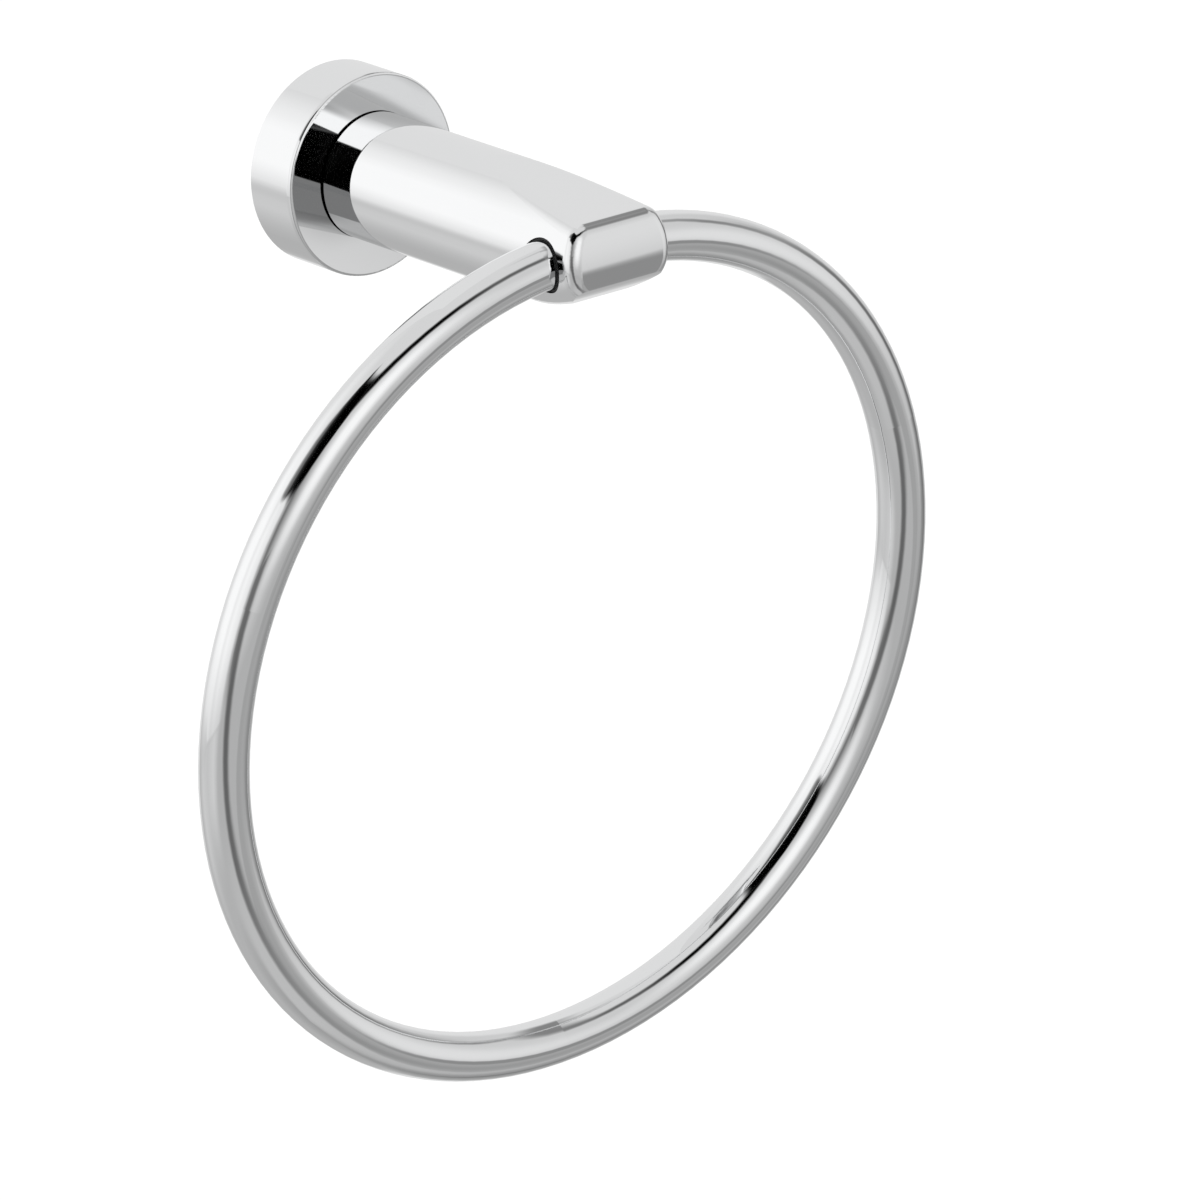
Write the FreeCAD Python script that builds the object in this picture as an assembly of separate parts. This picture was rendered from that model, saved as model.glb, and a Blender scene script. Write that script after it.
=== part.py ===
import FreeCAD
import Part

import math
import os

from FreeCAD import Vector

# Towel ring: a round wall flange, a post with a chisel nose, and a hoop that swings in it.
# Millimetres. The wall is the plane Y = 0, the object stands off towards -Y, and +Z is up.
# A distance called a stand-off is measured from the wall towards -Y.

# Hoop
HOOP_OUTER_DIAMETER = 178.0
HOOP_BAR_DIAMETER = 9.6
HOOP_TUBE_WALL = 1.2
HOOP_SHOULDER_RADIUS = 80.2
HOOP_SHOULDER_START_ANGLE = 70.0
HOOP_MOUTH_BEND_RADIUS = 12.0
HOOP_END_GAP = 3.0
HOOP_LEAN_ANGLE = 5.9

# Post with the nose that carries the hoop
POST_DIAMETER = 25.0
POST_FRONT_STAND_OFF = 86.1
NOSE_TOP_HEIGHT = 7.75
NOSE_TOP_SLOPE = 7.65
NOSE_FACE_RADIUS = 30.0
NOSE_FACE_HEIGHT = -1.3
NOSE_UNDERSIDE_LENGTH = 23.1
NOSE_UNDERSIDE_SLOPE = 8.0
NOSE_UNDERSIDE_RADIUS = 88.0
NOSE_TOE_CUT_LENGTH = 23.1
NOSE_TOE_CUT_RADIUS = 36.0
NOSE_UNDERSIDE_ROUND = 5.5
NOSE_TOP_ROUND = 4.0
NOSE_FRONT_ROUND = 2.6
HINGE_SETBACK = 9.1
HINGE_HEIGHT = -0.6
BORE_DIAMETER = 10.8

# Nylon bushes in the nose
BUSH_BORE_DIAMETER = 9.7
BUSH_LENGTH = 10.0
BUSH_RECESS = 0.4
BUSH_FIT = 0.02

# Joint between the post and the flange
SHADOW_GAP = 0.45
NECK_DIAMETER = 22.0
SPIGOT_DIAMETER = 12.0
SPIGOT_FLAT_HEIGHT = 4.6
SPIGOT_SHORTFALL = 0.5
SPIGOT_CLEARANCE = 0.1

# Flange
FLANGE_DIAMETER = 40.0
FLANGE_DEPTH = 12.4
FLANGE_WALL = 2.2
FLANGE_FACE_THICKNESS = 2.0
FLANGE_EDGE_ROUND = 0.5

# Wall plate under the flange
PLATE_CLEARANCE = 0.3
PLATE_BASE_THICKNESS = 2.5
PLATE_COLLAR_HEIGHT = 6.5
PLATE_COLLAR_WALL = 2.5
PLATE_GROOVE_DEPTH = 1.5
WALL_SCREW_SPACING = 19.0
WALL_SCREW_HOLE_DIAMETER = 4.5
WALL_SCREW_COUNTERSINK_DIAMETER = 8.6

# Screw and washers that clamp the post to the flange
CLAMP_THREAD_DIAMETER = 6.0
CLAMP_THREAD_CLEARANCE = 0.05
CLAMP_SCREW_GRIP = 14.0
CLAMP_HEAD_DIAMETER = 10.0
CLAMP_HEAD_HEIGHT = 3.2
CLAMP_SOCKET_WIDTH = 4.0
CLAMP_SOCKET_DEPTH = 2.0
TAPPED_HOLE_SPARE = 3.0
DRILL_POINT_HALF_ANGLE = 59.0
CLAMP_WASHER_DIAMETER = 18.0
CLAMP_WASHER_BORE = 6.4
CLAMP_WASHER_THICKNESS = 1.5
LOCK_WASHER_DIAMETER = 10.6
LOCK_WASHER_THICKNESS = 1.4
LOCK_WASHER_SPLIT = 0.8

# Set screw under the flange
SET_SCREW_DIAMETER = 4.0
SET_SCREW_CLEARANCE = 0.05
SET_SCREW_STAND_OFF = 3.6
SET_SCREW_SINK = 0.3
SET_SCREW_TIP_DIAMETER = 1.2
SET_SCREW_TIP_GAP = 0.05
SET_SCREW_SOCKET_WIDTH = 2.0
SET_SCREW_SOCKET_DEPTH = 1.4

WALL_NORMAL = Vector(0, -1, 0)
UP = Vector(0, 0, 1)
RIGHT = Vector(1, 0, 0)
FULL_TURN = 360.0
HEX_SIDES = 6
CUT_SPARE = 1.0

post_radius = POST_DIAMETER / 2
flange_radius = FLANGE_DIAMETER / 2
skirt_inner_radius = flange_radius - FLANGE_WALL
collar_radius = skirt_inner_radius - PLATE_CLEARANCE
face_inner_stand_off = FLANGE_DEPTH - FLANGE_FACE_THICKNESS
post_root = FLANGE_DEPTH + SHADOW_GAP
spigot_end = face_inner_stand_off + SPIGOT_SHORTFALL
lock_washer_front = face_inner_stand_off - CLAMP_WASHER_THICKNESS
clamp_head_front = lock_washer_front - LOCK_WASHER_THICKNESS
bar_radius = HOOP_BAR_DIAMETER / 2
hinge_stand_off = POST_FRONT_STAND_OFF - HINGE_SETBACK
hinge_point = Vector(0, -hinge_stand_off, HINGE_HEIGHT)


def at(stand_off, x=0.0, z=0.0):
    """Return a point at a distance from the wall."""
    return Vector(x, -stand_off, z)


def rod(radius, near, far, x=0.0, z=0.0):
    """Return a round bar square to the wall, between two stand-offs."""
    return Part.makeCylinder(radius, far - near, at(near, x, z), WALL_NORMAL)


def turned(profile):
    """Return a solid turned about the Y axis from (radius, stand-off) corners."""
    corners = [at(stand_off, radius) for radius, stand_off in profile]
    outline = Part.makePolygon(corners + corners[:1])
    return Part.Face(outline).revolve(Vector(), Vector(0, 1, 0), FULL_TURN)


def hex_prism(width, depth, base, direction):
    """Return a hexagonal prism, given its width across flats."""
    corner_radius = width / 2 / math.cos(math.pi / HEX_SIDES)
    across = UP if abs(direction.dot(UP)) < 0.5 else RIGHT
    side = direction.cross(across)
    corners = []
    for step in range(HEX_SIDES):
        angle = math.radians(FULL_TURN / HEX_SIDES * step)
        arm = across * math.cos(angle) + side * math.sin(angle)
        corners.append(base + arm * corner_radius)
    outline = Part.makePolygon(corners + corners[:1])
    return Part.Face(outline).extrude(direction * depth)


def edges_where(shape, test):
    """Return the edges whose middle point passes the test."""
    chosen = []
    for edge in shape.Edges:
        middle = edge.valueAt((edge.FirstParameter + edge.LastParameter) / 2)
        if test(middle):
            chosen.append(edge)
    return chosen


def on_circle(centre, radius, angle):
    """Return a (stand-off, height) point of a circle, at an angle up from the outward level."""
    return centre[0] + radius * math.cos(angle), centre[1] + radius * math.sin(angle)


def extrude_side_view(edges, width):
    """Return a solid as wide as asked, from the edges of a side view drawn at half that width."""
    return Part.Face(Part.Wire(edges)).extrude(RIGHT * width)


def make_nose_block():
    """Return the side view of the post and its chisel nose, as wide as the bar it is cut from."""
    front = POST_FRONT_STAND_OFF
    slope = math.radians(NOSE_TOP_SLOPE)
    face_centre = (front - NOSE_FACE_RADIUS, NOSE_FACE_HEIGHT)
    top_over_centre = NOSE_TOP_HEIGHT + NOSE_FACE_RADIUS * math.tan(slope) - NOSE_FACE_HEIGHT
    brow_spread = math.acos(top_over_centre * math.cos(slope) / NOSE_FACE_RADIUS)
    brow_angle = math.pi / 2 - slope - brow_spread
    heel_stand_off = front - NOSE_UNDERSIDE_LENGTH
    heel_angle = math.radians(NOSE_UNDERSIDE_SLOPE) - math.pi / 2
    belly_centre = (
        heel_stand_off - NOSE_UNDERSIDE_RADIUS * math.cos(heel_angle),
        -post_radius - NOSE_UNDERSIDE_RADIUS * math.sin(heel_angle),
    )
    belly_run = belly_centre[0] - face_centre[0]
    belly_rise = belly_centre[1] - face_centre[1]
    apart = math.hypot(belly_run, belly_rise)
    toe_spread = math.acos(
        (NOSE_FACE_RADIUS**2 + apart**2 - NOSE_UNDERSIDE_RADIUS**2) / (2 * NOSE_FACE_RADIUS * apart)
    )
    toe_angle = math.atan2(belly_rise, belly_run) - toe_spread
    crest_stand_off = front - (post_radius - NOSE_TOP_HEIGHT) / math.tan(slope)
    toe = on_circle(face_centre, NOSE_FACE_RADIUS, toe_angle)
    face_middle = on_circle(face_centre, NOSE_FACE_RADIUS, (toe_angle + brow_angle) / 2)
    brow = on_circle(face_centre, NOSE_FACE_RADIUS, brow_angle)
    belly_angle = math.atan2(toe[1] - belly_centre[1], toe[0] - belly_centre[0])
    belly_middle = on_circle(
        belly_centre, NOSE_UNDERSIDE_RADIUS, (belly_angle + heel_angle) / 2
    )
    outline = [
        (post_root, -post_radius),
        (heel_stand_off, -post_radius),
        belly_middle,
        toe,
        face_middle,
        brow,
        (crest_stand_off, post_radius),
        (post_root, post_radius),
    ]
    x = -post_radius - CUT_SPARE
    root, heel, belly, toe, face, brow, crest, root_top = [at(s, x, z) for s, z in outline]
    edges = [
        Part.makeLine(root, heel),
        Part.Arc(heel, belly, toe).toShape(),
        Part.Arc(toe, face, brow).toShape(),
        Part.makeLine(brow, crest),
        Part.makeLine(crest, root_top),
        Part.makeLine(root_top, root),
    ]
    return extrude_side_view(edges, -2 * x)


def make_toe_cutter():
    """Return the tool that trims the underside after rounding, to leave a crisp toe."""
    start = POST_FRONT_STAND_OFF - NOSE_TOE_CUT_LENGTH
    centre = (start, NOSE_TOE_CUT_RADIUS - post_radius)
    reach = NOSE_TOE_CUT_LENGTH + NOSE_FRONT_ROUND
    end_angle = math.asin(reach / NOSE_TOE_CUT_RADIUS) - math.pi / 2
    x = -post_radius - CUT_SPARE
    low = -post_radius - CUT_SPARE
    heel = at(start, x, -post_radius)
    middle_angle = (end_angle - math.pi / 2) / 2
    middle_stand_off, middle_height = on_circle(centre, NOSE_TOE_CUT_RADIUS, middle_angle)
    end_stand_off, end_height = on_circle(centre, NOSE_TOE_CUT_RADIUS, end_angle)
    middle = at(middle_stand_off, x, middle_height)
    end = at(end_stand_off, x, end_height)
    corner = at(start + reach, x, low)
    heel_corner = at(start, x, low)
    edges = [
        Part.Arc(heel, middle, end).toShape(),
        Part.makeLine(end, corner),
        Part.makeLine(corner, heel_corner),
        Part.makeLine(heel_corner, heel),
    ]
    return extrude_side_view(edges, -2 * x)


def make_post():
    """Return the cast post: a round bar cut to a chisel nose, with its spigot and bore."""
    front = POST_FRONT_STAND_OFF
    face_centre = at(front - NOSE_FACE_RADIUS, 0, NOSE_FACE_HEIGHT)
    blank = rod(post_radius, post_root, front + CUT_SPARE).common(make_nose_block())
    blank = blank.removeSplitter()

    def on_side(p):
        return post_root + CUT_SPARE < -p.y < hinge_stand_off and abs(p.x) > CUT_SPARE

    def on_face(p):
        from_axis = math.hypot(p.y - face_centre.y, p.z - face_centre.z)
        return -p.y > -face_centre.y and abs(from_axis - NOSE_FACE_RADIUS) < CUT_SPARE / 50

    underside_edges = edges_where(blank, lambda p: on_side(p) and p.z < 0)
    blank = blank.makeFillet(NOSE_UNDERSIDE_ROUND, underside_edges)
    top_edges = edges_where(blank, lambda p: on_side(p) and p.z > 0)
    blank = blank.makeFillet(NOSE_TOP_ROUND, top_edges)
    blank = blank.makeFillet(NOSE_FRONT_ROUND, edges_where(blank, on_face))
    blank = blank.cut(make_toe_cutter())
    neck = rod(NECK_DIAMETER / 2, FLANGE_DEPTH, post_root)
    spigot = make_spigot(SPIGOT_DIAMETER / 2, SPIGOT_FLAT_HEIGHT, spigot_end, FLANGE_DEPTH)
    post = blank.fuse([neck, spigot])
    bore_start = Vector(-POST_DIAMETER, -hinge_stand_off, HINGE_HEIGHT)
    bore = Part.makeCylinder(BORE_DIAMETER / 2, 2 * POST_DIAMETER, bore_start, RIGHT)
    return post.cut([bore, make_tapped_hole()]).removeSplitter()


def make_spigot(radius, flat_height, near, far):
    """Return the locating spigot, round with one flat on top."""
    flat = Part.makeBox(
        4 * radius, far - near, radius, Vector(-2 * radius, -far, flat_height)
    )
    return rod(radius, near, far).cut(flat)


def make_tapped_hole():
    """Return the tapped hole for the clamp screw, with its drill point."""
    radius = CLAMP_THREAD_DIAMETER / 2
    depth_end = clamp_head_front + CLAMP_SCREW_GRIP + TAPPED_HOLE_SPARE
    point = radius / math.tan(math.radians(DRILL_POINT_HALF_ANGLE))
    return turned(
        [
            (0, spigot_end - CUT_SPARE),
            (radius, spigot_end - CUT_SPARE),
            (radius, depth_end),
            (0, depth_end + point),
        ]
    )


def make_flange():
    """Return the cupped flange that hides the wall plate."""
    cup = rod(flange_radius, 0, FLANGE_DEPTH)
    rim = edges_where(cup, lambda p: -p.y > FLANGE_DEPTH - CUT_SPARE / 100)
    cup = cup.makeFillet(FLANGE_EDGE_ROUND, rim)
    cavity = rod(skirt_inner_radius, -CUT_SPARE, face_inner_stand_off)
    hole = make_spigot(
        SPIGOT_DIAMETER / 2 + SPIGOT_CLEARANCE,
        SPIGOT_FLAT_HEIGHT + SPIGOT_CLEARANCE,
        face_inner_stand_off - CUT_SPARE,
        FLANGE_DEPTH + CUT_SPARE,
    )
    start = at(SET_SCREW_STAND_OFF, 0, -flange_radius - CUT_SPARE)
    set_screw_hole = Part.makeCylinder(
        SET_SCREW_DIAMETER / 2, FLANGE_WALL + 2 * CUT_SPARE, start, UP
    )
    return cup.cut([cavity, hole, set_screw_hole])


def make_wall_plate():
    """Return the wall plate: a dished disc with a grooved collar and two screw holes."""
    collar_inner = collar_radius - PLATE_COLLAR_WALL
    groove_root = collar_radius - PLATE_GROOVE_DEPTH
    plate = turned(
        [
            (0, 0),
            (collar_radius, 0),
            (collar_radius, SET_SCREW_STAND_OFF - PLATE_GROOVE_DEPTH),
            (groove_root, SET_SCREW_STAND_OFF),
            (collar_radius, SET_SCREW_STAND_OFF + PLATE_GROOVE_DEPTH),
            (collar_radius, PLATE_COLLAR_HEIGHT),
            (collar_inner, PLATE_COLLAR_HEIGHT),
            (collar_inner, PLATE_BASE_THICKNESS),
            (0, PLATE_BASE_THICKNESS),
        ]
    )
    hole_radius = WALL_SCREW_HOLE_DIAMETER / 2
    sink_radius = WALL_SCREW_COUNTERSINK_DIAMETER / 2
    sink_depth = sink_radius - hole_radius
    for side in (-1, 1):
        x = side * WALL_SCREW_SPACING / 2
        hole = rod(hole_radius, -CUT_SPARE, PLATE_BASE_THICKNESS + CUT_SPARE, x)
        sink = Part.makeCone(
            hole_radius,
            sink_radius + CUT_SPARE,
            sink_depth + CUT_SPARE,
            at(PLATE_BASE_THICKNESS - sink_depth, x),
            WALL_NORMAL,
        )
        plate = plate.cut([hole, sink])
    return plate


def make_clamp_screw():
    """Return the socket head screw that pulls the post against the flange."""
    head_radius = CLAMP_HEAD_DIAMETER / 2
    shank_radius = CLAMP_THREAD_DIAMETER / 2 - CLAMP_THREAD_CLEARANCE
    head_back = clamp_head_front - CLAMP_HEAD_HEIGHT
    shank_end = clamp_head_front + CLAMP_SCREW_GRIP
    screw = rod(head_radius, head_back, clamp_head_front)
    screw = screw.fuse(rod(shank_radius, clamp_head_front, shank_end))
    socket = hex_prism(CLAMP_SOCKET_WIDTH, CLAMP_SOCKET_DEPTH, at(head_back), WALL_NORMAL)
    return screw.cut(socket)


def make_washer(outer_diameter, bore_diameter, near, far):
    """Return a flat washer between two stand-offs."""
    hole = rod(bore_diameter / 2, near - CUT_SPARE, far + CUT_SPARE)
    return rod(outer_diameter / 2, near, far).cut(hole)


def make_lock_washer():
    """Return the split spring washer, pressed flat."""
    washer = make_washer(
        LOCK_WASHER_DIAMETER, CLAMP_WASHER_BORE, clamp_head_front, lock_washer_front
    )
    split = Part.makeBox(
        LOCK_WASHER_SPLIT,
        LOCK_WASHER_THICKNESS + 2 * CUT_SPARE,
        LOCK_WASHER_DIAMETER,
        Vector(-LOCK_WASHER_SPLIT / 2, -lock_washer_front - CUT_SPARE, 0),
    )
    return washer.cut(split)


def make_set_screw():
    """Return the cone point screw that locks the flange on the wall plate."""
    radius = SET_SCREW_DIAMETER / 2 - SET_SCREW_CLEARANCE
    tip_radius = SET_SCREW_TIP_DIAMETER / 2
    groove_root = collar_radius - PLATE_GROOVE_DEPTH
    tip = groove_root + tip_radius + SET_SCREW_TIP_GAP
    cone = radius - tip_radius
    outer_end = flange_radius - SET_SCREW_SINK
    bottom = at(SET_SCREW_STAND_OFF, 0, -outer_end)
    shank = Part.makeCylinder(radius, outer_end - tip - cone, bottom, UP)
    point = Part.makeCone(radius, tip_radius, cone, at(SET_SCREW_STAND_OFF, 0, -tip - cone), UP)
    socket = hex_prism(SET_SCREW_SOCKET_WIDTH, SET_SCREW_SOCKET_DEPTH, bottom, UP)
    return shank.fuse(point).cut(socket).removeSplitter()


def make_bush(side):
    """Return one nylon bush, trimmed to the round side of the post."""
    outer = BORE_DIAMETER / 2 - BUSH_FIT
    inner_end = post_radius - BUSH_LENGTH
    start = Vector(side * inner_end, -hinge_stand_off, HINGE_HEIGHT)
    direction = RIGHT * side
    sleeve = Part.makeCylinder(outer, BUSH_LENGTH, start, direction)
    sleeve = sleeve.cut(Part.makeCylinder(BUSH_BORE_DIAMETER / 2, BUSH_LENGTH, start, direction))
    trim = rod(post_radius - BUSH_RECESS, hinge_stand_off - BORE_DIAMETER, POST_FRONT_STAND_OFF)
    return sleeve.common(trim)


def hoop_path():
    """Return the hoop's centre line, hanging straight down from the hinge axis."""
    main_radius = (HOOP_OUTER_DIAMETER - HOOP_BAR_DIAMETER) / 2
    shoulder_radius = HOOP_SHOULDER_RADIUS
    shoulder = math.radians(HOOP_SHOULDER_START_ANGLE)
    shoulder_x = (main_radius - shoulder_radius) * math.sin(shoulder)
    shoulder_z = (main_radius - shoulder_radius) * math.cos(shoulder)
    bend = HOOP_MOUTH_BEND_RADIUS
    mouth_x = post_radius + BUSH_FIT
    mouth = math.asin((mouth_x - shoulder_x) / (shoulder_radius - bend))
    crown_z = shoulder_z + shoulder_radius * math.cos(mouth)
    centre_drop = crown_z + bend * (1 - math.cos(mouth))

    def arc_point(x, z, radius, angle):
        return Vector(x + radius * math.sin(angle), 0, z + radius * math.cos(angle) - centre_drop)

    def arc(x, z, radius, start, end):
        points = [arc_point(x, z, radius, a) for a in (start, (start + end) / 2, end)]
        return Part.Arc(*points).toShape()

    bend_z = centre_drop - bend
    stub_end = HOOP_END_GAP / 2
    half = [
        Part.makeLine(Vector(stub_end, 0, 0), Vector(mouth_x, 0, 0)),
        arc(mouth_x, bend_z, bend, 0, mouth),
        arc(shoulder_x, shoulder_z, shoulder_radius, mouth, shoulder),
        arc(0, 0, main_radius, shoulder, math.pi),
    ]
    other = [edge.mirror(Vector(), RIGHT) for edge in reversed(half)]
    return Part.Wire(Part.sortEdges(half + other)[0])


def sweep_round(path, radius):
    """Return a round bar of the given radius along the path."""
    start = path.OrderedVertexes[0].Point
    section = Part.Wire(Part.makeCircle(radius, start, RIGHT))
    return path.makePipeShell([section], True, True)


def make_hoop():
    """Return the tube hoop, with its two straight ends in the bushes."""
    path = hoop_path()
    tube = sweep_round(path, bar_radius).cut(sweep_round(path, bar_radius - HOOP_TUBE_WALL))
    tube.rotate(Vector(), RIGHT, HOOP_LEAN_ANGLE)
    tube.translate(hinge_point)
    return tube


def main():
    """Write each piece to its own STEP file."""
    pieces = {
        "wall_plate": make_wall_plate(),
        "flange": make_flange(),
        "set_screw": make_set_screw(),
        "post": make_post(),
        "clamp_screw": make_clamp_screw(),
        "lock_washer": make_lock_washer(),
        "clamp_washer": make_washer(
            CLAMP_WASHER_DIAMETER, CLAMP_WASHER_BORE, lock_washer_front, face_inner_stand_off
        ),
        "left_bush": make_bush(-1),
        "right_bush": make_bush(1),
        "hoop": make_hoop(),
    }
    os.makedirs("parts", exist_ok=True)
    for name, shape in pieces.items():
        if len(shape.Solids) != 1 or not shape.isValid():
            raise ValueError(name + " is not one valid solid")
        shape.Solids[0].exportStep("parts/" + name + ".step")


main()
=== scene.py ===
import math

import bmesh
import bpy
from mathutils import Matrix, Vector

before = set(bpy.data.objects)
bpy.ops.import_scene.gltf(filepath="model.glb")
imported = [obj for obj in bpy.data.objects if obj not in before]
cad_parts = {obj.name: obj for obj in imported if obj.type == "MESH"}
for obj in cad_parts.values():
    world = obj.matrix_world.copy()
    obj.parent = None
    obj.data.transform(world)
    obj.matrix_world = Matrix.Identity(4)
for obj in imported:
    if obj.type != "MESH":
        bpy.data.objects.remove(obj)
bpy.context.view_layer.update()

MM = 0.001
HALF_TURN = 180.0
DEGREES = HALF_TURN / math.pi
WHITE = (1.0, 1.0, 1.0, 1.0)

# Camera, as fitted to the photograph. Azimuth turns from the wall's normal, roll tips the picture.
CAMERA_AZIMUTH = 40.01
CAMERA_ELEVATION = 19.91
CAMERA_ROLL = -1.20
CAMERA_DISTANCE = 1.845
CAMERA_TARGET = (0.01448, -0.06014, -0.07773)
CAMERA_SENSOR = 36.0
CAMERA_LENS = 288.75

# Floor, well below the object as under a wall fitting
FLOOR_HEIGHT = -0.9
FLOOR_SIZE = 8.0
FLOOR_COLOUR = (0.9, 0.9, 0.9, 1.0)
FLOOR_GLOW = 0.15

# Pieces by finish
CHROME_NODES = ("post", "hoop")
FLANGE_NODES = ("flange",)
STEEL_NODES = ("wall_plate", "set_screw", "clamp_screw", "lock_washer", "clamp_washer")
NYLON_NODES = ("left_bush", "right_bush")

# Finishes: colour, scale of the grain and the roughness that it runs between
CHROME_COLOUR = (0.93, 0.935, 0.94, 1.0)
CHROME_GRAIN = 140.0
CHROME_ROUGHNESS = (0.02, 0.045)
ZINC_COLOUR = (0.55, 0.56, 0.58, 1.0)
ZINC_GRAIN = 900.0
ZINC_ROUGHNESS = (0.28, 0.42)
NYLON_COLOUR = (0.012, 0.012, 0.013, 1.0)
NYLON_GRAIN = 1500.0
NYLON_ROUGHNESS = (0.45, 0.6)
# The grain's noise, and the two of its values that the roughness runs between
GRAIN_DETAIL = 2.0
GRAIN_LOW = 0.3
GRAIN_HIGH = 0.7
# Height of the hollow in the flange's face over the distance from its middle squared
FLANGE_DISH = 1.9
# The flange's rim is rolled over by polishing, from this distance off the wall
FLANGE_ROLL_START = 10.8 * MM
FLANGE_ROLL_RADIUS = 2.2 * MM

# The studio that the chrome mirrors. Shades are screen values, 0 black and 1 white. Directions are in
# degrees: azimuth 0 looks from the wall towards the room and grows towards +X, elevation grows
# upwards. An edge is its place and its softness either way. A curve is a list of places and values.
STUDIO_STRENGTH = 1.05
SCREEN_GAMMA = 2.2
BASE_SHADE = ((-90, 0.61), (-60, 0.69), (-20, 0.68), (0, 0.81), (20, 0.78), (40, 0.8), (60, 0.83), (90, 0.83))

# Soft ovals: azimuth, elevation, half width, half height, softness, shade
LOW_POOL = (-8.8, -69.5, 57.0, 20.9, 0.58, 0.73)
CORNER_POOL = (100.0, -60.0, 27.0, 24.0, 0.5, 0.58)
RIGHT_POOL = (43.0, -36.2, 23.0, 20.2, 0.17, 0.62)
RIGHT_WINDOW = (54.0, 1.0, 24.0, 20.0, 0.8, 0.87)
FACE_POOL = (40.0, -21.5, 7.0, 6.2, 0.35, 0.54)
FRONT_WINDOW = (-5.2, 15.3, 22.6, 17.5, 0.68, 0.97)
OVALS = (LOW_POOL, CORNER_POOL, RIGHT_POOL, RIGHT_WINDOW, FACE_POOL, FRONT_WINDOW)

# Pale wall behind on the right: its side, and its foot by azimuth
BACK_WALL_SHADE = 0.865
BACK_WALL_SIDE = (119, 8)
BACK_WALL_FOOT = ((124, -24), (132, -34), (139, -56), (144, -50), (150, -28))
BACK_WALL_FOOT_SOFTNESS = 10.0

# Big window on the left, with its shade by azimuth and its strength by elevation
LEFT_WINDOW_SHADE = (
    (-180, 0.87), (-160, 0.96), (-150, 0.99), (-125, 0.99), (-114, 0.93), (-100, 0.97), (-70, 0.9)
)
LEFT_WINDOW_RISE = (
    (-19, 0.5), (-14, 0.6), (-6, 0.79), (2, 0.97), (25, 0.97), (33, 0.82), (40, 0.76), (50, 0.48),
    (60, 0.16), (68, 0),
)
LEFT_WINDOW_JAMB = (-71.0, 8.7)
LEFT_WINDOW_SILL = -18.6
LEFT_WINDOW_SILL_SOFTNESS = ((-180, 7), (-136, 7), (-128, 1), (-60, 1))
# Wall below that window
LEFT_WALL_SHADE = ((-180, 0.69), (-165, 0.74), (-150, 0.79), (-120, 0.76), (-90, 0.8), (-70, 0.72))
LEFT_WALL_FOOT = (-42.5, 12.5)
# Shaded jamb on the window's right, with its depth by azimuth
JAMB_SHADE = 0.44
JAMB_DEPTH = ((-74, 0), (-65, 0.45), (-58, 1), (-53, 0.8), (-47, 0.5), (-41, 0.28), (-35, 0.1), (-28, 0))
JAMB_FOOT = (-12, 8)
JAMB_HEAD = (50, 6)

# Grey hoop that carries the tent: its oval as above, then how far off that oval it fades, as shares
# of the oval, and where it ends. Its end, growth and shade follow the turn round its middle.
TENT_OVAL = (21.6, 11.4, 74.0, 59.2)
TENT_HALF_WIDTH = (0.03, 0.19)
TENT_END = (-5.0, 20.0)
TENT_GROWTH = ((-180, 1.01), (-150, 1.01), (-120, 1.06), (-90, 1.0), (-60, 0.94), (-30, 1.05), (0, 1.01))
TENT_SHADE = ((-180, 0.43), (-150, 0.38), (-120, 0.40), (-90, 0.52), (-60, 0.62), (-30, 0.5), (0, 0.62))

# Stand on the right: its azimuth and shade by elevation, and where it fades across and at its ends
STAND_AZIMUTH = ((-60, 101), (-42, 97), (-10, 94), (10, 92), (30, 85), (50, 89))
STAND_SHADE = (
    (-60, 0.49), (-42, 0.53), (-20, 0.46), (-8, 0.41), (4, 0.46), (14, 0.57), (30, 0.52), (50, 0.7)
)
STAND_HALF_WIDTH = (2.0, 10.8)
STAND_ENDS = (60.0, 75.0)

# Dark cloth that hangs from the flag's tip, by azimuth
CLOTH_ELEVATION = ((-40, 49.5), (-20, 50), (10, 49.5), (30, 47), (45, 43), (60, 45), (96, 50), (125, 44))
CLOTH_SHADE = (
    (-40, 0), (6, 0), (12, 0.14), (18, 0.26), (24, 0.36), (36, 0.38), (42, 0.46), (54, 0.5), (125, 0.52)
)
CLOTH_HALF_HEIGHT = (1.0, 11.0)
CLOTH_LEFT_END = (-37, 7)
CLOTH_RIGHT_END = (119, 7)

# Black flag overhead on the left, by azimuth
FLAG_SHADE = 0.0
FLAG_LOWER_EDGE = (
    (-112, 34.5), (-84, 35), (-78, 34.5), (-68, 32), (-56, 32), (-50, 33), (-44, 35.5), (-38, 38),
    (-32, 41), (-26, 43),
)
FLAG_LOWER_SOFTNESS = ((-112, 1.2), (-84, 1.5), (-74, 3), (-60, 3.5), (-28, 4))
FLAG_UPPER_EDGE = (
    (-112, 52), (-102, 58), (-96, 63), (-84, 69), (-76, 69), (-68, 65.5), (-56, 63), (-44, 59),
    (-38, 57), (-28, 53),
)
FLAG_UPPER_SOFTNESS = ((-112, 7), (-96, 4), (-80, 3), (-28, 3))
FLAG_DEPTH = (
    (-118, 0), (-113, 0.2), (-107, 0.4), (-101, 0.53), (-95, 0.56), (-89, 0.77), (-80, 0.88), (-62, 1)
)
FLAG_RIGHT_END = (-35, 5)

# What chrome shows of other chrome. A second reflection between the flange and the post sees panels
# that stand nearer, and a third one only a grey. Reflections are told apart by the ray's depth.
FIRST_REFLECTION_DEPTH = 2.5
SECOND_REFLECTION_DEPTH = 3.5
DEEP_SHADE = 0.47
# The panels show in directions whose part along -Y is near this value, fading between these distances
NEAR_AWAY = 0.74
NEAR_REACH = (0.12, 0.17)
# Wall on the right of the panels
NEAR_WALL_SIDE = (30, 9)
NEAR_WALL_SHADE = 0.68
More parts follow.
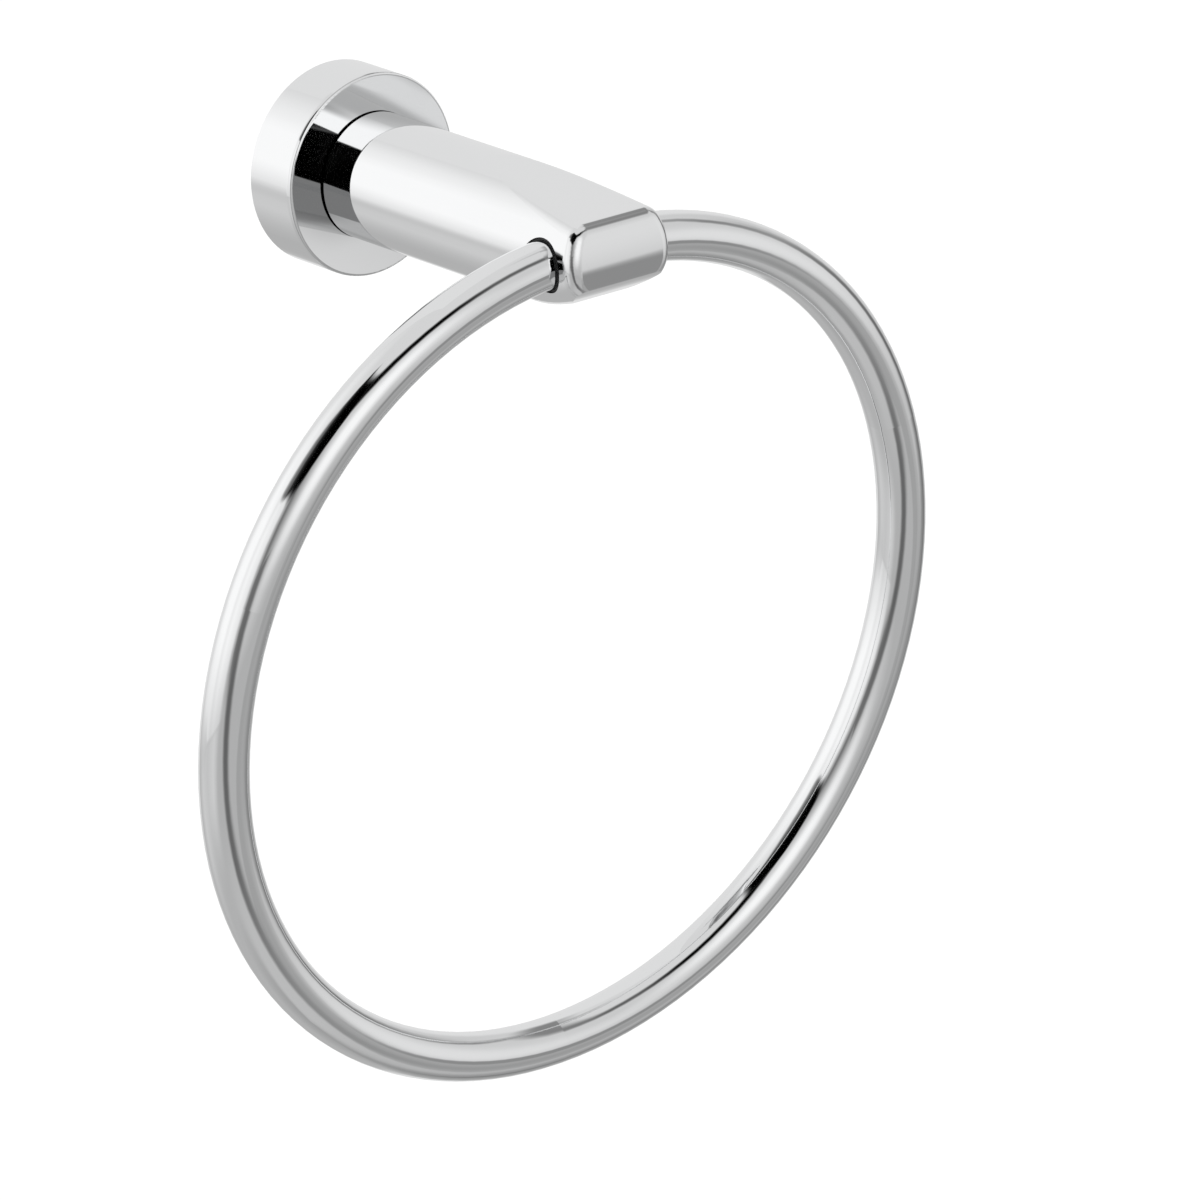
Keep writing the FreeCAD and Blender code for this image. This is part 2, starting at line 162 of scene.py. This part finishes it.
# Near panels: left, right, lower and upper edge, softness on the left and the right, shade
NEAR_SCREEN = (-66, -8, -52, 4, 1.0, 1.0, 0.47)
NEAR_FLAG = (-66, -16.5, -12, 44, 1.0, 1.0, 0.0)
NEAR_WINDOW = (-16.5, 22, 24, 62, 1.0, 12.0, 1.0)
NEAR_PANELS = (NEAR_SCREEN, NEAR_FLAG, NEAR_WINDOW)
NEAR_SOFTNESS = 1.0

# A curve that stays level still needs a span to be stretched over
SMALLEST_SPAN = 0.001


def make_camera():
    """Aim the camera as the photograph was taken."""
    azimuth = math.radians(CAMERA_AZIMUTH)
    elevation = math.radians(CAMERA_ELEVATION)
    roll = math.radians(CAMERA_ROLL)
    level = math.cos(elevation)
    forward = Vector((math.sin(azimuth) * level, math.cos(azimuth) * level, -math.sin(elevation)))
    level_right = Vector((math.cos(azimuth), -math.sin(azimuth), 0))
    level_up = level_right.cross(forward)
    right = level_right * math.cos(roll) + level_up * math.sin(roll)
    up = level_up * math.cos(roll) - level_right * math.sin(roll)
    data = bpy.data.cameras.new("camera")
    data.sensor_width = CAMERA_SENSOR
    data.lens = CAMERA_LENS
    camera = bpy.data.objects.new("camera", data)
    place = Matrix((right, up, -forward)).transposed().to_4x4()
    place.translation = Vector(CAMERA_TARGET) - forward * CAMERA_DISTANCE
    camera.matrix_world = place
    bpy.context.scene.collection.objects.link(camera)
    bpy.context.scene.camera = camera


class Graph:
    """Short calls that add nodes to one node tree."""

    def __init__(self, tree):
        self.tree = tree

    def node(self, kind, **settings):
        """Add a node and set its properties."""
        made = self.tree.nodes.new(kind)
        for name, value in settings.items():
            setattr(made, name, value)
        return made

    def feed(self, socket, value):
        """Link a socket to another, or give it a plain value."""
        if isinstance(value, bpy.types.NodeSocket):
            self.tree.links.new(value, socket)
        else:
            socket.default_value = value

    def math(self, operation, *values):
        """Add a math node and return its result."""
        made = self.node("ShaderNodeMath", operation=operation)
        for socket, value in zip(made.inputs, values):
            self.feed(socket, value)
        return made.outputs["Value"]

    def axes(self, vector):
        """Return the three parts of a vector by name."""
        made = self.node("ShaderNodeSeparateXYZ")
        self.feed(made.inputs["Vector"], vector)
        return made.outputs

    def square(self, value):
        """Return a value times itself."""
        return self.math("MULTIPLY", value, value)

    def inverse(self, mask):
        """Swap the inside and the outside of a mask."""
        return self.math("SUBTRACT", 1.0, mask)

    def both(self, first, *others):
        """Return the part that all the masks share."""
        shared = first
        for other in others:
            shared = self.math("MULTIPLY", shared, other)
        return shared

    def fade(self, value, start, end):
        """Return 1 below start and 0 above end, with a smooth step between."""
        made = self.node("ShaderNodeMapRange", interpolation_type="SMOOTHSTEP")
        for name, part in (("Value", value), ("From Min", start), ("From Max", end)):
            self.feed(made.inputs[name], part)
        made.inputs["To Min"].default_value = 1.0
        made.inputs["To Max"].default_value = 0.0
        return made.outputs["Result"]

    def below(self, value, edge, softness):
        """Return 1 below a soft edge, whose place and softness may vary."""
        start = self.math("SUBTRACT", edge, softness)
        end = self.math("ADD", edge, softness)
        return self.fade(value, start, end)

    def above(self, value, edge, softness):
        """Return 1 above a soft edge."""
        return self.inverse(self.below(value, edge, softness))

    def beside(self, value, middle, edges):
        """Return 1 near a middle, fading between two distances from it."""
        off = self.math("ABSOLUTE", self.math("SUBTRACT", value, middle))
        return self.fade(off, *edges)

    def mix(self, factor, first, second):
        """Mix two plain values."""
        made = self.node("ShaderNodeMix", data_type="FLOAT")
        for name, value in (("Factor", factor), ("A", first), ("B", second)):
            self.feed(made.inputs[name], value)
        return made.outputs["Result"]

    def mix_shaders(self, factor, first, second):
        """Mix two shaders."""
        made = self.node("ShaderNodeMixShader")
        for socket, value in zip(made.inputs, (factor, first, second)):
            self.feed(socket, value)
        return made.outputs["Shader"]

    def curve(self, value, stops):
        """Return a value that follows straight lines between stops."""
        places = [place for place, _ in stops]
        heights = [height for _, height in stops]
        along = self.node("ShaderNodeMapRange")
        self.feed(along.inputs["Value"], value)
        along.inputs["From Min"].default_value = places[0]
        along.inputs["From Max"].default_value = places[-1]
        ramp = self.node("ShaderNodeValToRGB")
        self.feed(ramp.inputs["Fac"], along.outputs["Result"])
        low = min(heights)
        span = max(max(heights) - low, SMALLEST_SPAN)
        points = ramp.color_ramp.elements
        while len(points) < len(stops):
            points.new(1.0)
        for point, place, height in zip(points, places, heights):
            point.position = (place - places[0]) / (places[-1] - places[0])
            share = (height - low) / span
            point.color = (share, share, share, 1.0)
        return self.math("MULTIPLY_ADD", ramp.outputs["Color"], span, low)


def place_in_oval(graph, azimuth, elevation, oval):
    """Return a direction's place across, up and out from an oval's middle, with 1 out on its rim."""
    middle, height, half_width, half_height = oval
    turned = graph.math("WRAP", graph.math("SUBTRACT", azimuth, middle), HALF_TURN, -HALF_TURN)
    across = graph.math("DIVIDE", turned, half_width)
    up = graph.math("DIVIDE", graph.math("SUBTRACT", elevation, height), half_height)
    out = graph.math("SQRT", graph.math("ADD", graph.square(across), graph.square(up)))
    return across, up, out


def add_ovals(graph, azimuth, elevation, shade):
    """Add the dark pools low down and the pale windows in front."""
    for *oval, softness, oval_shade in OVALS:
        _, _, out = place_in_oval(graph, azimuth, elevation, oval)
        shade = graph.mix(graph.below(out, 1.0, softness), shade, oval_shade)
    return shade


def add_back_wall(graph, azimuth, elevation, shade):
    """Add the pale wall behind on the right."""
    foot = graph.curve(azimuth, BACK_WALL_FOOT)
    standing = graph.above(elevation, foot, BACK_WALL_FOOT_SOFTNESS)
    wall = graph.both(graph.above(azimuth, *BACK_WALL_SIDE), standing)
    return graph.mix(wall, shade, BACK_WALL_SHADE)


def add_left_window(graph, azimuth, elevation, shade):
    """Add the big window on the left, the wall below it and its shaded jamb."""
    left = graph.below(azimuth, *LEFT_WINDOW_JAMB)
    under = graph.below(elevation, LEFT_WINDOW_SILL, graph.curve(azimuth, LEFT_WINDOW_SILL_SOFTNESS))
    window = graph.both(graph.inverse(under), left, graph.curve(elevation, LEFT_WINDOW_RISE))
    shade = graph.mix(window, shade, graph.curve(azimuth, LEFT_WINDOW_SHADE))
    wall = graph.both(under, graph.above(elevation, *LEFT_WALL_FOOT), left)
    shade = graph.mix(wall, shade, graph.curve(azimuth, LEFT_WALL_SHADE))
    standing = graph.above(elevation, *JAMB_FOOT)
    jamb = graph.both(graph.curve(azimuth, JAMB_DEPTH), standing, graph.below(elevation, *JAMB_HEAD))
    return graph.mix(jamb, shade, JAMB_SHADE)


def add_tent_hoop(graph, azimuth, elevation, shade):
    """Add the grey hoop that carries the tent."""
    across, up, out = place_in_oval(graph, azimuth, elevation, TENT_OVAL)
    turn = graph.math("MULTIPLY", graph.math("ARCTAN2", up, across), DEGREES)
    grown = graph.math("DIVIDE", out, graph.curve(turn, TENT_GROWTH))
    hoop = graph.both(graph.beside(grown, 1.0, TENT_HALF_WIDTH), graph.fade(turn, *TENT_END))
    return graph.mix(hoop, shade, graph.curve(turn, TENT_SHADE))


def add_stand(graph, azimuth, elevation, shade):
    """Add the stand on the right."""
    across = graph.beside(azimuth, graph.curve(elevation, STAND_AZIMUTH), STAND_HALF_WIDTH)
    stand = graph.both(across, graph.beside(elevation, 0.0, STAND_ENDS))
    return graph.mix(stand, shade, graph.curve(elevation, STAND_SHADE))


def add_cloth(graph, azimuth, elevation, shade):
    """Add the dark cloth that hangs from the flag's tip."""
    along = graph.beside(elevation, graph.curve(azimuth, CLOTH_ELEVATION), CLOTH_HALF_HEIGHT)
    left_end = graph.above(azimuth, *CLOTH_LEFT_END)
    cloth = graph.both(along, left_end, graph.below(azimuth, *CLOTH_RIGHT_END))
    return graph.mix(cloth, shade, graph.curve(azimuth, CLOTH_SHADE))


def add_flag(graph, azimuth, elevation, shade):
    """Add the black flag."""
    lower = graph.curve(azimuth, FLAG_LOWER_EDGE)
    upper = graph.curve(azimuth, FLAG_UPPER_EDGE)
    over = graph.above(elevation, lower, graph.curve(azimuth, FLAG_LOWER_SOFTNESS))
    under = graph.below(elevation, upper, graph.curve(azimuth, FLAG_UPPER_SOFTNESS))
    right_end = graph.below(azimuth, *FLAG_RIGHT_END)
    flag = graph.both(under, over, graph.curve(azimuth, FLAG_DEPTH), right_end)
    return graph.mix(flag, shade, FLAG_SHADE)


def panel_mask(graph, azimuth, elevation, edges):
    """Return 1 inside a near panel."""
    left, right, lower, upper, left_softness, right_softness = edges
    return graph.both(
        graph.above(azimuth, left, left_softness),
        graph.below(azimuth, right, right_softness),
        graph.above(elevation, lower, NEAR_SOFTNESS),
        graph.below(elevation, upper, NEAR_SOFTNESS),
    )


def add_near_panels(graph, azimuth, elevation, away, ray_depth, shade):
    """Give the second reflections their near panels and the third ones a grey."""
    second = graph.math("GREATER_THAN", ray_depth, FIRST_REFLECTION_DEPTH)
    second = graph.both(second, graph.beside(away, NEAR_AWAY, NEAR_REACH))
    wall = graph.both(second, graph.above(azimuth, *NEAR_WALL_SIDE))
    shade = graph.mix(wall, shade, NEAR_WALL_SHADE)
    for *edges, panel_shade in NEAR_PANELS:
        mask = graph.both(second, panel_mask(graph, azimuth, elevation, edges))
        shade = graph.mix(mask, shade, panel_shade)
    third = graph.math("GREATER_THAN", ray_depth, SECOND_REFLECTION_DEPTH)
    return graph.mix(third, shade, DEEP_SHADE)


def make_studio():
    """Give mirror rays the studio, and light everything else with plain white."""
    world = bpy.data.worlds.new("studio")
    bpy.context.scene.world = world
    world.use_nodes = True
    world.node_tree.nodes.clear()
    graph = Graph(world.node_tree)
    axes = graph.axes(graph.node("ShaderNodeTexCoord").outputs["Generated"])
    away = graph.math("MULTIPLY", axes["Y"], -1.0)
    azimuth = graph.math("MULTIPLY", graph.math("ARCTAN2", axes["X"], away), DEGREES)
    height = graph.math("MINIMUM", graph.math("MAXIMUM", axes["Z"], -1.0), 1.0)
    elevation = graph.math("MULTIPLY", graph.math("ARCSINE", height), DEGREES)
    shade = graph.curve(elevation, BASE_SHADE)
    for add in (add_ovals, add_back_wall, add_left_window, add_tent_hoop, add_stand, add_cloth, add_flag):
        shade = add(graph, azimuth, elevation, shade)
    rays = graph.node("ShaderNodeLightPath").outputs
    shade = add_near_panels(graph, azimuth, elevation, away, rays["Ray Depth"], shade)
    studio = graph.node("ShaderNodeBackground")
    graph.feed(studio.inputs["Color"], graph.math("POWER", shade, SCREEN_GAMMA))
    studio.inputs["Strength"].default_value = STUDIO_STRENGTH
    plain = graph.node("ShaderNodeBackground")
    plain.inputs["Color"].default_value = WHITE
    seen = graph.mix_shaders(rays["Is Glossy Ray"], plain.outputs["Background"], studio.outputs["Background"])
    graph.feed(graph.node("ShaderNodeOutputWorld").inputs["Surface"], seen)


def make_grain():
    """Return the grain of a finish: fine noise over the piece, stretched to a range of roughness."""
    group = bpy.data.node_groups.new("grain", "ShaderNodeTree")
    group.interface.new_socket(name="Place", in_out="INPUT", socket_type="NodeSocketVector")
    for name in ("Scale", "Smoothest", "Roughest"):
        group.interface.new_socket(name=name, in_out="INPUT", socket_type="NodeSocketFloat")
    group.interface.new_socket(name="Roughness", in_out="OUTPUT", socket_type="NodeSocketFloat")
    graph = Graph(group)
    given = graph.node("NodeGroupInput").outputs
    noise = graph.node("ShaderNodeTexNoise")
    graph.feed(noise.inputs["Vector"], given["Place"])
    graph.feed(noise.inputs["Scale"], given["Scale"])
    noise.inputs["Detail"].default_value = GRAIN_DETAIL
    spread = graph.node("ShaderNodeMapRange")
    graph.feed(spread.inputs["Value"], noise.outputs["Fac"])
    spread.inputs["From Min"].default_value = GRAIN_LOW
    spread.inputs["From Max"].default_value = GRAIN_HIGH
    graph.feed(spread.inputs["To Min"], given["Smoothest"])
    graph.feed(spread.inputs["To Max"], given["Roughest"])
    graph.feed(graph.node("NodeGroupOutput").inputs["Roughness"], spread.outputs["Result"])
    return group


def make_finish(name, colour, metallic, grain, grain_scale, roughness):
    """Return a material with an even colour and a grain, its graph, its shader and its place."""
    material = bpy.data.materials.new(name)
    material.use_nodes = True
    material.node_tree.nodes.clear()
    graph = Graph(material.node_tree)
    shader = graph.node("ShaderNodeBsdfPrincipled")
    shader.inputs["Base Color"].default_value = colour
    shader.inputs["Metallic"].default_value = metallic
    place = graph.node("ShaderNodeTexCoord").outputs["Object"]
    texture = graph.node("ShaderNodeGroup", node_tree=grain)
    graph.feed(texture.inputs["Place"], place)
    smoothest, roughest = roughness
    for socket, value in (("Scale", grain_scale), ("Smoothest", smoothest), ("Roughest", roughest)):
        texture.inputs[socket].default_value = value
    graph.feed(shader.inputs["Roughness"], texture.outputs["Roughness"])
    graph.feed(graph.node("ShaderNodeOutputMaterial").inputs["Surface"], shader.outputs["BSDF"])
    return material, graph, shader, place


def make_chrome(name, grain):
    """Return bright polished chrome plate."""
    return make_finish(name, CHROME_COLOUR, 1.0, grain, CHROME_GRAIN, CHROME_ROUGHNESS)


def make_flange_chrome(grain):
    """Return the flange's chrome, slightly hollow on its face and rolled over at its rim."""
    material, graph, shader, place = make_chrome("flange_chrome", grain)
    axes = graph.axes(place)
    radius_squared = graph.math("ADD", graph.square(axes["X"]), graph.square(axes["Z"]))
    hollow = graph.math("MULTIPLY", radius_squared, FLANGE_DISH)
    off_wall = graph.math("MULTIPLY", axes["Y"], -1.0)
    past = graph.math("MAXIMUM", graph.math("SUBTRACT", off_wall, FLANGE_ROLL_START), 0.0)
    roll = graph.math("DIVIDE", graph.square(past), 2.0 * FLANGE_ROLL_RADIUS)
    shape = graph.node("ShaderNodeBump")
    graph.feed(shape.inputs["Height"], graph.math("SUBTRACT", hollow, roll))
    shape.inputs["Distance"].default_value = 1.0
    graph.feed(shader.inputs["Normal"], shape.outputs["Normal"])
    return material


def dress(names, material):
    """Give CAD nodes a material."""
    for name in names:
        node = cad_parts[name]
        if not node.material_slots:
            node.data.materials.append(material)
        for slot in node.material_slots:
            slot.material = material


def dress_pieces():
    """Give every piece its finish."""
    grain = make_grain()
    chrome, *_ = make_chrome("polished_chrome", grain)
    zinc, *_ = make_finish("zinc_plated_steel", ZINC_COLOUR, 1.0, grain, ZINC_GRAIN, ZINC_ROUGHNESS)
    nylon, *_ = make_finish("black_nylon", NYLON_COLOUR, 0.0, grain, NYLON_GRAIN, NYLON_ROUGHNESS)
    dress(CHROME_NODES, chrome)
    dress(FLANGE_NODES, make_flange_chrome(grain))
    dress(STEEL_NODES, zinc)
    dress(NYLON_NODES, nylon)


def make_floor_paper():
    """Return the pale paper of the floor, which only the camera sees."""
    material = bpy.data.materials.new("pale_floor")
    material.use_nodes = True
    material.node_tree.nodes.clear()
    graph = Graph(material.node_tree)
    paper = graph.node("ShaderNodeBsdfDiffuse")
    paper.inputs["Color"].default_value = FLOOR_COLOUR
    glow = graph.node("ShaderNodeEmission")
    glow.inputs["Strength"].default_value = FLOOR_GLOW
    lit = graph.node("ShaderNodeAddShader")
    for socket, part in zip(lit.inputs, (paper.outputs["BSDF"], glow.outputs["Emission"])):
        graph.feed(socket, part)
    clear = graph.node("ShaderNodeBsdfTransparent").outputs["BSDF"]
    rays = graph.node("ShaderNodeLightPath").outputs
    seen = graph.mix_shaders(rays["Is Camera Ray"], clear, lit.outputs["Shader"])
    graph.feed(graph.node("ShaderNodeOutputMaterial").inputs["Surface"], seen)
    return material


def make_floor():
    """Lay the pale floor."""
    mesh = bmesh.new()
    bmesh.ops.create_grid(mesh, x_segments=1, y_segments=1, size=FLOOR_SIZE / 2)
    bmesh.ops.translate(mesh, verts=mesh.verts, vec=(0, 0, FLOOR_HEIGHT))
    data = bpy.data.meshes.new("floor")
    mesh.to_mesh(data)
    mesh.free()
    data.materials.append(make_floor_paper())
    floor = bpy.data.objects.new("floor", data)
    bpy.context.scene.collection.objects.link(floor)


bpy.context.scene.view_settings.view_transform = "Standard"
make_camera()
make_studio()
make_floor()
dress_pieces()
